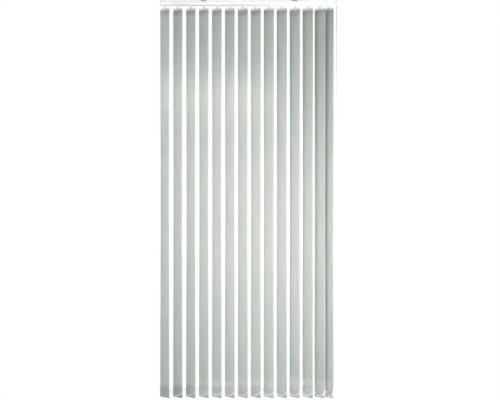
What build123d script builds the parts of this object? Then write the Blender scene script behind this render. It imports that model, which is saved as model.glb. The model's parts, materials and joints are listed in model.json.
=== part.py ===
"""Vertical blind with fabric vanes, a traversing and tilting head rail and bottom chains.

Millimetres, +Z up. The origin is the middle of the ceiling line, at the top of the brackets.
X runs along the rail towards the control end, and the room is on the -Y side.
"""
from build123d import *
from math import cos, pi, radians, sin, sqrt, tan
import os

os.makedirs("parts", exist_ok=True)

# ---------------------------------------------------------------- driving sizes
vane_count = 14
vane_width = 89.0
vane_length = 2440.0
fabric_thickness = 0.6
pitch = 82.0              # spacing of the vanes that stand fully apart
last_gaps = (76.0, 54.0)  # spacing of the two gaps next to the control end
tilt_at_rest = 46.0       # angle between a vane and the rail

rail_width = 46.0
rail_height = 29.0
rail_wall = 1.5
rail_corner = 1.4         # radius of the rail's outer corners
rail_slot = 15.0          # gap along the underside, for the stems
end_left = 28.0           # from the first stem to the outer face of the end cap
end_right = 59.0          # from the last stem to the outer face of the control housing

bracket_thickness = 1.6
bracket_length = 30.0
bracket_height = 5.0      # from the ceiling to the top of the rail
bracket_hole_radius = 2.6
bracket_slit = 3.0        # width of the two slits that divide a leg into fingers
bracket_inset = 273.5     # from the rail's end to a bracket's middle

carrier_length = 13.0
rod_radius = 2.5
stem_radius = 3.0
hook_width = 12.0
hook_thickness = 6.0
hook_over = 8.0           # height of the fork above the hanger plate's top
hook_under = 7.0          # how far the fork reaches below it
cross_radius = 1.4        # of the peg that the hanger plate hangs on
cross_drop = 3.5          # from the hanger plate's top to the peg
plate_thickness = 1.6
plate_height = 30.0
plate_showing = 13.0      # height of the hanger plate above the fabric
stem_drop = 18.0          # from the underside of the rail to the top of the hanger plate
weight_thickness = 2.2
pocket_depth = 52.0       # height of the pocket that holds the bottom weight
chain_height = 43.5       # from the foot of a vane up to its chain rings

worm_wall = 1.2
gear_height = 5.0
gear_teeth = 14
tooth_gap_radius = 0.5
pulley_pin_radius = 1.5
wheel_radius = 6.0        # of the chain wheel, at the middle of the beads
turn_radius = 5.5         # of the draw cord over the control pulleys
wheel_thickness = 6.0
pulley_thickness = 4.4
rim_past = 0.3            # how far the wheels' rims stand past the middle of the cord
exit_inset = 8.0          # from the right end to the hanging chain and cord

pin_radius = 1.2
ring_radius = 3.0
ring_height = 4.0
ring_gap = 1.8            # between a chain ring and the vane's edge
chain_radius = 1.5
chain_per_gap = 102.0     # length of bottom chain between two vanes
chain_bend = 1.7          # 1 would hang a span as a V, and 2 as a parabola
bead_radius = 2.2
cord_radius = 1.1
chain_drop = 1302.0       # from the underside of the rail to the foot of the tilt chain
cord_drop = 1364.0        # from the underside of the rail to the foot of the draw cord
cord_weight_size = (13.0, 24.0, 104.0)
cord_weight_corner = 5.0
cord_weight_round = 4.0   # rounding of its two ends
weight_below = 48.0       # from the foot of the cord to the foot of its weight
connector_length = 14.0
connector_wall = 1.0
connector_up = 110.0      # from the foot of the chain to the connector

running = 0.3             # clearance of pieces that move past each other
shaft_gap = 0.05          # clearance of a shaft in its bearing
touch = 0.1               # clearance of a fixed piece in its seat
past = 1.0                # how far a cut or a joining piece runs past the face it crosses

# ---------------------------------------------------------------- worked out from them
gaps = [pitch] * (vane_count - 1 - len(last_gaps)) + list(last_gaps)
span = sum(gaps)
rail_length = end_left + span + end_right
left_end = -rail_length / 2
right_end = rail_length / 2
stem_x = [left_end + end_left + sum(gaps[:i]) for i in range(vane_count)]

rail_top = -bracket_height
rail_under = rail_top - rail_height
plate_top = rail_under - stem_drop
fabric_top = plate_top - plate_showing
fabric_foot = fabric_top - vane_length
ring_z = fabric_foot + chain_height
pin_reach = vane_width / 2 + ring_radius + ring_gap
exit_x = right_end - exit_inset

along = Vector(cos(radians(tilt_at_rest)), -sin(radians(tilt_at_rest)), 0)
across = Vector(sin(radians(tilt_at_rest)), cos(radians(tilt_at_rest)), 0)


def level_plane(i, height):
    """Level plane through vane i: x along the vane's width, y out of its rear face."""
    return Plane(origin=(stem_x[i], 0, height), x_dir=along, z_dir=(0, 0, 1))


def face_plane(i):
    """Upright plane in the middle of vane i: x along its width, y up."""
    return Plane(origin=(stem_x[i], 0, 0), x_dir=along, z_dir=-across)


def edge_plane(i):
    """Upright plane at the rear edge of vane i, looking along its width: y up."""
    edge = Vector(stem_x[i], 0, 0) - along * (vane_width / 2)
    return Plane(origin=edge, x_dir=across, z_dir=along)


def save(part, name):
    """Label one finished piece and write it."""
    part.label = name
    export_step(part, f"parts/{name}.step")


# ---------------------------------------------------------------- levels inside the rail
inner_width = rail_width - 2 * rail_wall
end_plate = 2.0
housing_length = 36.0
cap_depth = 18.0          # how far the left end cap reaches into the rail
spigot_depth = 10.0       # how far the control housing reaches into the rail
rail_from = left_end + end_plate
rail_to = right_end - housing_length
lip_height = 1.6          # of the upturned lips along the slot
groove_depth = 1.2        # of the grooves that the brackets grip
groove_height = 2.0
groove_drop = 4.0         # from the top of the rail to the grooves
groove_top = rail_top - groove_drop
floor_z = rail_under + rail_wall
carrier_foot = floor_z + lip_height + running
head_room = 1.2           # between the carriers and the rail's roof
carrier_roof = rail_top - rail_wall - head_room
carrier_width = inner_width - 2 * groove_depth - 2 * running
carrier_corner = 1.5
shoe_width = 8.0          # of the two runners that slide on the rail's floor
rod_y = 9.5
rod_drop = 8.0            # from the carriers' roof to the tilt rod
rod_z = carrier_roof - rod_drop
worm_radius = rod_radius + touch + worm_wall
gear_radius = rod_y - worm_radius - running
well_wall = 1.5
cord_y = (-17.0, -6.5)    # front and rear runs of the draw cord inside the rail
cord_under_rod = 5.8
cord_z = rod_z - cord_under_rod
strip_thickness = 0.5
strip_pitch = 0.8
strip_width = 9.0
strip_y = -12.0
lane_count = 5            # strips that can lie over each other in the gathered stack
lanes_height = lane_count * strip_pitch
strip_roof = 2.2          # wall of the carriers above the strips
strip_z = carrier_roof - strip_roof - lanes_height
strip_past = 4.0          # length of a strip beyond the carrier that it leads through

# ---------------------------------------------------------------- head rail
with BuildPart() as head_rail:
    with BuildSketch(Plane.YZ.offset(rail_from)):
        with Locations((0, rail_top - rail_height / 2)):
            RectangleRounded(rail_width, rail_height, rail_corner)
            Rectangle(inner_width, rail_height - 2 * rail_wall, mode=Mode.SUBTRACT)
        with Locations((0, rail_under + rail_wall / 2)):
            Rectangle(rail_slot, 2 * rail_wall, mode=Mode.SUBTRACT)
        for hand in (-1, 1):
            # thicker walls behind the grooves, and the grooves
            with Locations((hand * (inner_width - groove_depth) / 2, groove_top - groove_height / 2)):
                Rectangle(groove_depth, groove_height + 2 * rail_wall)
            with Locations((hand * (rail_width - groove_depth) / 2, groove_top - groove_height / 2)):
                Rectangle(groove_depth, groove_height, mode=Mode.SUBTRACT)
            with Locations((hand * (rail_slot + rail_wall) / 2, floor_z + lip_height / 2)):
                Rectangle(rail_wall, lip_height)
    extrude(amount=rail_to - rail_from)
save(head_rail.part, "head_rail")

# ---------------------------------------------------------------- carriers
for i in range(vane_count):
    x = stem_x[i]
    with BuildPart() as carrier:
        with BuildSketch(Plane.YZ.offset(x - carrier_length / 2)):
            with Locations((0, (carrier_foot + carrier_roof) / 2)):
                RectangleRounded(carrier_width, carrier_roof - carrier_foot, carrier_corner)
            # runners that stand on the floor of the rail
            for hand in (-1, 1):
                with Locations((hand * (carrier_width - shoe_width) / 2, carrier_foot)):
                    Rectangle(shoe_width, 2 * (carrier_foot - floor_z - touch))
            # ways for the tilt rod, the two runs of cord and the spacer strips
            with Locations((rod_y, rod_z)):
                Circle(rod_radius + running, mode=Mode.SUBTRACT)
            with Locations(*[(y, cord_z) for y in cord_y]):
                Circle(cord_radius + running, mode=Mode.SUBTRACT)
            with Locations((strip_y, strip_z + lanes_height / 2)):
                Rectangle(strip_width + 2 * running, lanes_height + 2 * running, mode=Mode.SUBTRACT)
        extrude(amount=carrier_length)
        # wells for the worm and for the gear on the stem, and the stem's bearing
        with BuildSketch(Plane.YZ.offset(x - carrier_length / 2 + well_wall)):
            with Locations((rod_y, rod_z)):
                Circle(worm_radius + touch)
        extrude(amount=carrier_length - 2 * well_wall, mode=Mode.SUBTRACT)
        with BuildSketch(Plane.XY.offset(rod_z - gear_height / 2 - running)):
            with Locations((x, 0)):
                Circle(gear_radius + running)
        extrude(amount=gear_height + 2 * running, mode=Mode.SUBTRACT)
        with BuildSketch(Plane.XY.offset(carrier_foot - past)):
            with Locations((x, 0)):
                Circle(stem_radius + shaft_gap)
        extrude(amount=rod_z - carrier_foot + past, mode=Mode.SUBTRACT)
    pieces = [carrier.part.solid()]
    # worm: a sleeve on the tilt rod, caught in its well
    with BuildPart() as worm:
        with BuildSketch(Plane.YZ.offset(x - carrier_length / 2 + well_wall + touch)):
            with Locations((rod_y, rod_z)):
                Circle(worm_radius)
                Circle(rod_radius + touch, mode=Mode.SUBTRACT)
        extrude(amount=carrier_length - 2 * well_wall - 2 * touch)
    pieces.append(worm.part.solid())
    if i > 0:
        # spacer strip: held in this carrier, it leads through the one before
        strip_middle = strip_z + strip_pitch * (i % lane_count) + strip_pitch / 2
        with BuildPart() as strip:
            with BuildSketch(Plane.XY.offset(strip_middle - strip_thickness / 2)):
                with Locations((x - (pitch + strip_past) / 2, strip_y)):
                    Rectangle(pitch + strip_past + carrier_length, strip_width)
            extrude(amount=strip_thickness)
        pieces.append(strip.part.solid())
    save(Compound(children=pieces), f"carrier_{i + 1:02d}")

# ---------------------------------------------------------------- vane fittings
hook_corner = 1.5
hook_top = plate_top + hook_over
hook_foot = plate_top - hook_under
cross_z = plate_top - cross_drop
cross_inset = 0.5         # of the peg's ends from the faces of the fork
plate_corner = 2.0
plate_side = 1.0          # from the edge of the vane to the hanger plate and the weight
arm_thickness = 2.0
arm_foot = ring_z + ring_height / 2 + running
arm_root = 3.0            # how far an arm reaches back into the weight
head_radius = 1.8
head_height = 0.8
peg_root = 0.5            # how far a peg reaches up into its arm
weight_foot = fabric_foot + fabric_thickness + touch
weight_top = arm_foot + arm_thickness
plate_width = vane_width - 2 * plate_side
arm_length = pin_reach + head_radius - plate_width / 2 + arm_root

for i in range(vane_count):
    x = stem_x[i]
    # stem: gear, shaft and the fork with its peg
    with BuildPart() as stem:
        with BuildSketch(Plane.XY.offset(rod_z - gear_height / 2)):
            with Locations((x, 0)):
                Circle(gear_radius)
                with PolarLocations(gear_radius, gear_teeth):
                    Circle(tooth_gap_radius, mode=Mode.SUBTRACT)
        extrude(amount=gear_height)
        with BuildSketch(Plane.XY.offset(hook_top - past)):
            with Locations((x, 0)):
                Circle(stem_radius)
        extrude(amount=rod_z - hook_top + past)
        with BuildSketch(level_plane(i, hook_foot)):
            RectangleRounded(hook_width, hook_thickness, hook_corner)
        extrude(amount=hook_top - hook_foot)
        with BuildSketch(level_plane(i, hook_foot)):
            Rectangle(hook_width, plate_thickness + 2 * touch)
        extrude(amount=plate_top + past - hook_foot, mode=Mode.SUBTRACT)
        with BuildSketch(face_plane(i).offset(-hook_thickness / 2 + cross_inset)):
            with Locations((0, cross_z)):
                Circle(cross_radius)
        extrude(amount=hook_thickness - 2 * cross_inset)
    # hanger plate, whose lower half stands in the top pocket of the fabric
    with BuildPart() as plate:
        with BuildSketch(face_plane(i).offset(-plate_thickness / 2)):
            with Locations((0, plate_top - plate_height / 2)):
                RectangleRounded(plate_width, plate_height, plate_corner)
            with Locations((0, cross_z)):
                Circle(cross_radius + touch, mode=Mode.SUBTRACT)
        extrude(amount=plate_thickness)
    # bottom weight with an arm and a peg for the chain at each end
    with BuildPart() as weight:
        with BuildSketch(face_plane(i).offset(-weight_thickness / 2)):
            with Locations((0, (weight_foot + weight_top) / 2)):
                RectangleRounded(plate_width, weight_top - weight_foot, plate_corner)
            for hand in (-1, 1):
                arm_middle = pin_reach + head_radius - arm_length / 2
                with Locations((hand * arm_middle, weight_top - arm_thickness / 2)):
                    Rectangle(arm_length, arm_thickness)
        extrude(amount=weight_thickness)
        peg_foot = ring_z - ring_height / 2 - running
        with BuildSketch(level_plane(i, peg_foot)):
            with Locations((-pin_reach, 0), (pin_reach, 0)):
                Circle(pin_radius)
        extrude(amount=arm_foot - peg_foot + peg_root)
        with BuildSketch(level_plane(i, peg_foot - head_height)):
            with Locations((-pin_reach, 0), (pin_reach, 0)):
                Circle(head_radius)
        extrude(amount=head_height)
    pieces = [stem.part.solid(), plate.part.solid(), weight.part.solid()]
    save(Compound(children=pieces), f"vane_fittings_{i + 1:02d}")

# ---------------------------------------------------------------- vane fabric
taper = 6.0               # height over which a pocket closes to one sheet, for each mm of its half width
slit_spare = 1.0          # depth of the top pocket below the hanger plate
slit_depth = plate_height - plate_showing + slit_spare
top_inner = plate_thickness / 2 + touch
top_outer = top_inner + fabric_thickness
foot_inner = weight_thickness / 2 + touch
foot_outer = foot_inner + fabric_thickness
sheet_half = fabric_thickness / 2
outline = [
    (-top_outer, fabric_top),
    (-top_outer, fabric_top - slit_depth),
    (-sheet_half, fabric_top - slit_depth - taper * top_outer),
    (-sheet_half, fabric_foot + pocket_depth + taper * foot_outer),
    (-foot_outer, fabric_foot + pocket_depth),
    (-foot_outer, fabric_foot),
]
for i in range(vane_count):
    with BuildPart() as fabric:
        with BuildSketch(edge_plane(i)):
            with BuildLine():
                Polyline(*outline, *[(-u, v) for u, v in reversed(outline)], close=True)
            make_face()
            with Locations((0, fabric_top - slit_depth / 2)):
                Rectangle(2 * top_inner, slit_depth, mode=Mode.SUBTRACT)
            with Locations((0, fabric_foot + (pocket_depth + fabric_thickness) / 2)):
                Rectangle(2 * foot_inner, pocket_depth - fabric_thickness, mode=Mode.SUBTRACT)
        extrude(amount=vane_width)
    save(fabric.part, f"vane_fabric_{i + 1:02d}")

# ---------------------------------------------------------------- bottom chains
run_share = 0.45          # of the shorter run, taken up by an arc on each side of its corner


def corner_radii(points):
    """Arc at each inner corner: as large as the two runs that meet there allow."""
    radii = []
    for before, here, after in zip(points, points[1:], points[2:]):
        run_in = Vector(*here) - Vector(*before)
        run_out = Vector(*after) - Vector(*here)
        turn = radians(run_in.get_angle(run_out))
        radii.append(run_share * min(run_in.length, run_out.length) / tan(turn / 2))
    return radii


def chain_sag(gap):
    """Depth at which the chain's length is taken up over a gap."""
    return sqrt((2 * chain_bend - 1) / 2 * gap * (chain_per_gap - gap)) / chain_bend


def chain_drop_at(share, sag):
    """Height of a span below its rings, at a share of its gap."""
    return -sag * (1 - abs(2 * share - 1) ** chain_bend)


ring_bite = 1.0           # how far a span's end reaches into its ring
ring_lead = (8.0, 5.8)    # along and down, from the ring's middle to the span's first corner
span_shares = (0.2, 0.4, 0.6, 0.8)
for end, name in ((1, "front_chain"), (-1, "rear_chain")):
    chain_y = end * pin_reach * along.Y
    ring_x = [x + end * pin_reach * along.X for x in stem_x]
    tube_length = 0
    with BuildPart() as bottom_chain:
        for x, gap in zip(ring_x, gaps):
            sag = chain_sag(gap)
            reach = ring_radius - ring_bite
            points = [(x + reach, chain_y, ring_z), (x + ring_lead[0], chain_y, ring_z - ring_lead[1])]
            points += [(x + s * gap, chain_y, ring_z + chain_drop_at(s, sag)) for s in span_shares]
            points += [(x + gap - ring_lead[0], chain_y, ring_z - ring_lead[1]),
                       (x + gap - reach, chain_y, ring_z)]
            radii = corner_radii(points)
            with BuildLine():
                route = FilletPolyline(*points, radius=radii)
            with BuildSketch(Plane(origin=route @ 0, z_dir=route % 0)):
                Circle(chain_radius)
            sweep()
            tube_length += route.length
        with BuildSketch(Plane.XY.offset(ring_z - ring_height / 2)):
            with Locations(*[(x, chain_y) for x in ring_x]):
                Circle(ring_radius)
        extrude(amount=ring_height)
        with BuildSketch(Plane.XY.offset(ring_z - 2 * ring_height)):
            with Locations(*[(x, chain_y) for x in ring_x]):
                Circle(pin_radius + running)
        extrude(amount=4 * ring_height, mode=Mode.SUBTRACT)
    print(name, "radii", [round(r, 1) for r in radii])
    print(name, "tube", round(tube_length, 1), "volume", round(bottom_chain.part.volume),
          "section times length", round(pi * chain_radius ** 2 * tube_length))
    save(bottom_chain.part, name)

# ---------------------------------------------------------------- tilt rod and chain wheel
spline_count = 3
spline_radius = 0.5
rod_start = rail_from + past
rod_end = exit_x + wheel_thickness / 2 + past
with BuildPart() as tilt_rod:
    with BuildSketch(Plane.YZ.offset(rod_start)):
        with Locations((rod_y, rod_z)):
            Circle(rod_radius)
    extrude(amount=rod_end - rod_start)
    # three splines run between the two bearings
    spline_from = rail_from + cap_depth + past
    with BuildSketch(Plane.YZ.offset(spline_from)):
        with Locations((rod_y, rod_z)):
            with PolarLocations(rod_radius, spline_count):
                Circle(spline_radius)
    extrude(amount=rail_to - spigot_depth - past - spline_from, mode=Mode.SUBTRACT)
save(tilt_rod.part, "tilt_rod")

with BuildPart() as chain_wheel:
    with BuildSketch(Plane.YZ.offset(exit_x - wheel_thickness / 2)):
        with Locations((rod_y, rod_z)):
            Circle(wheel_radius + rim_past)
            Circle(rod_radius + touch, mode=Mode.SUBTRACT)
    extrude(amount=wheel_thickness)
    # groove that the beads lie in
    with BuildSketch(Plane.XZ.offset(-rod_y)):
        with Locations((exit_x, rod_z + wheel_radius)):
            Circle(bead_radius + running)
    revolve(axis=Axis((exit_x, rod_y, rod_z), (1, 0, 0)), mode=Mode.SUBTRACT)
save(chain_wheel.part, "chain_wheel")

# ---------------------------------------------------------------- tilt chain
chain_foot = rail_under - chain_drop
with BuildPart() as tilt_chain:
    with BuildLine(Plane.YZ.offset(exit_x)):
        CenterArc((rod_y, rod_z), wheel_radius, 0, 180)
        Line((rod_y - wheel_radius, rod_z), (rod_y - wheel_radius, chain_foot + wheel_radius))
        CenterArc((rod_y, chain_foot + wheel_radius), wheel_radius, 180, 180)
        Line((rod_y + wheel_radius, chain_foot + wheel_radius), (rod_y + wheel_radius, rod_z))
    with BuildSketch(Plane.XY.offset(rod_z)):
        with Locations((exit_x, rod_y + wheel_radius)):
            Circle(bead_radius)
    sweep()
save(tilt_chain.part, "tilt_chain")
chain_length = 2 * (rod_z - chain_foot - wheel_radius) + 2 * pi * wheel_radius
print("tilt_chain length", round(chain_length, 1), "volume", round(tilt_chain.part.volume),
      "section times length", round(pi * bead_radius ** 2 * chain_length))

with BuildPart() as chain_connector:
    with BuildSketch(Plane.XY.offset(chain_foot + connector_up)):
        with Locations((exit_x, rod_y + wheel_radius)):
            Circle(bead_radius + touch + connector_wall)
            Circle(bead_radius + touch, mode=Mode.SUBTRACT)
    extrude(amount=connector_length)
save(chain_connector.part, "chain_connector")

# ---------------------------------------------------------------- draw cord
loop_y = sum(cord_y) / 2
loop_half = (cord_y[1] - cord_y[0]) / 2
idle_inset = 10.0         # from the left end of the rail to the idle pulley's pin
idle_x = rail_from + idle_inset
turn_x = exit_x - turn_radius
turn_z = cord_z - turn_radius
with BuildPart() as draw_cord_run:
    # round the idle pulley, and down over a control pulley at each end
    with BuildLine(Plane.XY.offset(cord_z)):
        Line((turn_x, cord_y[0]), (idle_x, cord_y[0]))
        CenterArc((idle_x, loop_y), loop_half, -90, -180)
        Line((idle_x, cord_y[1]), (turn_x, cord_y[1]))
    with BuildSketch(Plane.YZ.offset(turn_x)):
        with Locations((cord_y[0], cord_z)):
            Circle(cord_radius)
    sweep()
    for y in cord_y:
        with BuildLine(Plane(origin=(0, y, 0), x_dir=(1, 0, 0), z_dir=(0, -1, 0))):
            CenterArc((turn_x, turn_z), turn_radius, 90, -90)
            Line((exit_x, turn_z), (exit_x, rail_under))
        with BuildSketch(Plane.YZ.offset(turn_x)):
            with Locations((y, cord_z)):
                Circle(cord_radius)
        sweep()
save(draw_cord_run.part, "draw_cord_run")

cord_foot = rail_under - cord_drop
with BuildPart() as draw_cord:
    with BuildLine(Plane.YZ.offset(exit_x)):
        Line((cord_y[0], rail_under), (cord_y[0], cord_foot + loop_half))
        CenterArc((loop_y, cord_foot + loop_half), loop_half, 180, 180)
        Line((cord_y[1], cord_foot + loop_half), (cord_y[1], rail_under))
    with BuildSketch(Plane.XY.offset(rail_under)):
        with Locations((exit_x, cord_y[0])):
            Circle(cord_radius)
    sweep()
save(draw_cord.part, "draw_cord")
cord_length = 2 * (rail_under - cord_foot - loop_half) + pi * loop_half
print("draw_cord length", round(cord_length, 1), "volume", round(draw_cord.part.volume),
      "section times length", round(pi * cord_radius ** 2 * cord_length))

with BuildPart() as cord_weight:
    with BuildSketch(Plane.XY.offset(cord_foot - weight_below)):
        with Locations((exit_x, loop_y)):
            RectangleRounded(cord_weight_size[0], cord_weight_size[1], cord_weight_corner)
    extrude(amount=cord_weight_size[2])
    fillet(cord_weight.faces().filter_by(Axis.Z).edges(), radius=cord_weight_round)
    # way for the cord, which carries the weight at its bend
    with BuildLine(Plane.YZ.offset(exit_x)):
        Line((cord_y[0], rail_under), (cord_y[0], cord_foot + loop_half))
        CenterArc((loop_y, cord_foot + loop_half), loop_half, 180, 180)
        Line((cord_y[1], cord_foot + loop_half), (cord_y[1], rail_under))
    with BuildSketch(Plane.XY.offset(rail_under)):
        with Locations((exit_x, cord_y[0])):
            Circle(cord_radius + touch)
    sweep(mode=Mode.SUBTRACT)
save(cord_weight.part, "cord_weight")

# ---------------------------------------------------------------- pulleys and their pins
def pulley(base, axis, groove_radius):
    """Grooved wheel on a base plane, with a running bore for its pin."""
    with BuildPart() as wheel:
        with BuildSketch(base):
            Circle(groove_radius + rim_past)
            Circle(pulley_pin_radius + shaft_gap, mode=Mode.SUBTRACT)
        extrude(amount=pulley_thickness)
        middle = base.offset(pulley_thickness / 2)
        with BuildSketch(Plane(origin=middle.origin, x_dir=base.x_dir, z_dir=base.y_dir)):
            with Locations((groove_radius, 0)):
                Circle(cord_radius + running)
        revolve(axis=axis, mode=Mode.SUBTRACT)
    return wheel.part


idle_base = Plane.XY.offset(cord_z - pulley_thickness / 2)
idle_base.origin = (idle_x, loop_y, cord_z - pulley_thickness / 2)
idle_pulley = pulley(idle_base, Axis((idle_x, loop_y, 0), (0, 0, 1)), loop_half)
save(idle_pulley, "idle_pulley")
for y, name in zip(cord_y, ("front_control_pulley", "rear_control_pulley")):
    side_base = Plane(origin=(turn_x, y - pulley_thickness / 2, turn_z), x_dir=(1, 0, 0), z_dir=(0, 1, 0))
    save(pulley(side_base, Axis((turn_x, 0, turn_z), (0, 1, 0)), turn_radius), name)

strip_gap = 1.0           # between the left end cap and the lowest spacer strip
cap_roof = strip_z - running - strip_gap
idle_pin_half = 6.0
idle_pin_foot = cord_z - idle_pin_half
pin_inset = 1.0           # of the pins' ends from the outer faces
idle_pin_top = cap_roof - pin_inset
control_pin_from = -rail_width / 2 + pin_inset
rib_y = cord_y[1] + pulley_thickness / 2 + running
rib_thickness = 2.0
with BuildPart() as idle_pin:
    with BuildSketch(Plane.XY.offset(idle_pin_foot)):
        with Locations((idle_x, loop_y)):
            Circle(pulley_pin_radius)
    extrude(amount=idle_pin_top - idle_pin_foot)
with BuildPart() as control_pin:
    with BuildSketch(Plane(origin=(turn_x, control_pin_from, turn_z), x_dir=(1, 0, 0), z_dir=(0, 1, 0))):
        Circle(pulley_pin_radius)
    extrude(amount=rib_y + rib_thickness - control_pin_from)
save(Compound(children=[idle_pin.part.solid(), control_pin.part.solid()]), "pulley_pins")

# ---------------------------------------------------------------- left end cap
plug_width = inner_width - 2 * groove_depth - 2 * touch
plug_foot = floor_z + lip_height + touch
slot_height = pulley_thickness + 2 * running
foot_width = 8.0
bearing_wall = 2.5        # round the end of the tilt rod
slot_past = 2.0           # room beyond the idle pulley, behind the cord's bend
slot_side = 1.0           # room beside it


def plug_sketch(roof):
    """Section of a block that fits inside the rail, with feet that reach its floor."""
    with Locations((0, (plug_foot + roof) / 2)):
        Rectangle(plug_width, roof - plug_foot)
    for hand in (-1, 1):
        with Locations((hand * (plug_width - foot_width) / 2, plug_foot)):
            Rectangle(foot_width, 2 * (plug_foot - floor_z - touch))


with BuildPart() as left_end_cap:
    with BuildSketch(Plane.YZ.offset(left_end)):
        with Locations((0, rail_top - rail_height / 2)):
            RectangleRounded(rail_width, rail_height, rail_corner)
    extrude(amount=end_plate)
    with BuildSketch(Plane.YZ.offset(rail_from)):
        plug_sketch(cap_roof)
        with Locations((rod_y, rod_z)):
            Circle(rod_radius + bearing_wall)
    extrude(amount=cap_depth)
    # bearing of the tilt rod
    with BuildSketch(Plane.YZ.offset(rod_start - running)):
        with Locations((rod_y, rod_z)):
            Circle(rod_radius + shaft_gap)
    extrude(amount=cap_depth, mode=Mode.SUBTRACT)
    # slot of the idle pulley, and the holes of its pin
    slot_from = idle_x - loop_half - slot_past
    with BuildSketch(Plane.XY.offset(cord_z - slot_height / 2)):
        with Locations(((slot_from + rail_from + cap_depth) / 2, loop_y)):
            Rectangle(rail_from + cap_depth - slot_from, 2 * (loop_half + cord_radius + slot_side))
    extrude(amount=slot_height, mode=Mode.SUBTRACT)
    with BuildSketch(Plane.XY.offset(idle_pin_foot)):
        with Locations((idle_x, loop_y)):
            Circle(pulley_pin_radius + touch / 2)
    extrude(amount=idle_pin_top - idle_pin_foot, mode=Mode.SUBTRACT)
save(left_end_cap.part, "left_end_cap")

# ---------------------------------------------------------------- control housing
housing_wall = 2.0
mouth_past = 3.0          # room in the mouths beyond the cord, and before the pulleys
mouth_side = 1.0          # room round the chain
with BuildPart() as control_housing:
    with BuildSketch(Plane.YZ.offset(rail_to)):
        with Locations((0, rail_top - rail_height / 2)):
            RectangleRounded(rail_width, rail_height, rail_corner)
    extrude(amount=housing_length)
    with BuildSketch(Plane.YZ.offset(rail_to + housing_wall)):
        with Locations((0, rail_top - rail_height / 2)):
            Rectangle(rail_width - 2 * housing_wall, rail_height - 2 * housing_wall)
    extrude(amount=housing_length - 2 * housing_wall, mode=Mode.SUBTRACT)
    with BuildSketch(Plane.YZ.offset(rail_to - spigot_depth)):
        plug_sketch(carrier_roof)
    extrude(amount=spigot_depth)
    # rib that carries the inner end of the control pin
    with BuildSketch(Plane.YZ.offset(rail_to + housing_wall)):
        with Locations((rib_y + rib_thickness / 2, rail_top - rail_height / 2)):
            Rectangle(rib_thickness, rail_height - 2 * housing_wall)
    extrude(amount=housing_length - 2 * housing_wall)
    # bearing of the rod and ways for the cord
    with BuildSketch(Plane.YZ.offset(rail_to - spigot_depth)):
        with Locations((rod_y, rod_z)):
            Circle(rod_radius + shaft_gap)
        with Locations(*[(y, cord_z) for y in cord_y]):
            Circle(cord_radius + running)
    extrude(amount=spigot_depth + housing_wall, mode=Mode.SUBTRACT)
    # seat of the control pin in the front wall and the rib
    with BuildSketch(Plane(origin=(turn_x, control_pin_from, turn_z), x_dir=(1, 0, 0), z_dir=(0, 1, 0))):
        Circle(pulley_pin_radius + touch / 2)
    extrude(amount=rib_y + rib_thickness - control_pin_from, mode=Mode.SUBTRACT)
    # openings underneath: one for the pulleys and the cord, one for the chain
    with BuildSketch(Plane.XY.offset(rail_under)):
        cord_mouth = 2 * (turn_radius + mouth_past)
        with Locations((exit_x + mouth_past - cord_mouth / 2, loop_y)):
            Rectangle(cord_mouth, 2 * loop_half + pulley_thickness + 2 * running)
        with Locations((exit_x, rod_y)):
            Rectangle(2 * (bead_radius + mouth_side), 2 * (wheel_radius + bead_radius + mouth_side))
    extrude(amount=housing_wall, mode=Mode.SUBTRACT)
save(control_housing.part, "control_housing")

# ---------------------------------------------------------------- ceiling brackets
leg_y = rail_width / 2 + running
finger_pitch = 12.0       # between the two slits of a leg
hook_top_z = groove_top - touch
hook_depth = groove_depth - running
for hand, name in ((-1, "left_bracket"), (1, "right_bracket")):
    middle = hand * (rail_length / 2 - bracket_inset)
    with BuildPart() as bracket:
        with BuildSketch(Plane.YZ.offset(middle - bracket_length / 2)):
            with Locations((0, -bracket_thickness / 2)):
                Rectangle(2 * (leg_y + bracket_thickness), bracket_thickness)
            for side in (-1, 1):
                leg_middle = (side * (leg_y + bracket_thickness / 2), (hook_top_z - bracket_thickness) / 2)
                with Locations(leg_middle):
                    Rectangle(bracket_thickness, bracket_thickness - hook_top_z)
                hook_reach = rail_width / 2 - hook_depth
                with Locations((side * (hook_reach + leg_y) / 2, hook_top_z - bracket_thickness / 2)):
                    Rectangle(leg_y - hook_reach, bracket_thickness)
        extrude(amount=bracket_length)
        # two slots divide each leg into three fingers
        with BuildSketch(Plane.XZ.offset(-rail_width)):
            for side in (-1, 1):
                with Locations((middle + side * finger_pitch / 2, hook_top_z)):
                    Rectangle(bracket_slit, -2 * (hook_top_z + bracket_thickness))
        extrude(amount=2 * rail_width, mode=Mode.SUBTRACT)
        with BuildSketch(Plane.XY.offset(-bracket_thickness)):
            with Locations((middle, 0)):
                Circle(bracket_hole_radius)
        extrude(amount=bracket_thickness, mode=Mode.SUBTRACT)
    save(bracket.part, name)
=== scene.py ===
"""Vertical blind: cloth vanes, bottom chains, controls and finishes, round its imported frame."""

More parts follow.
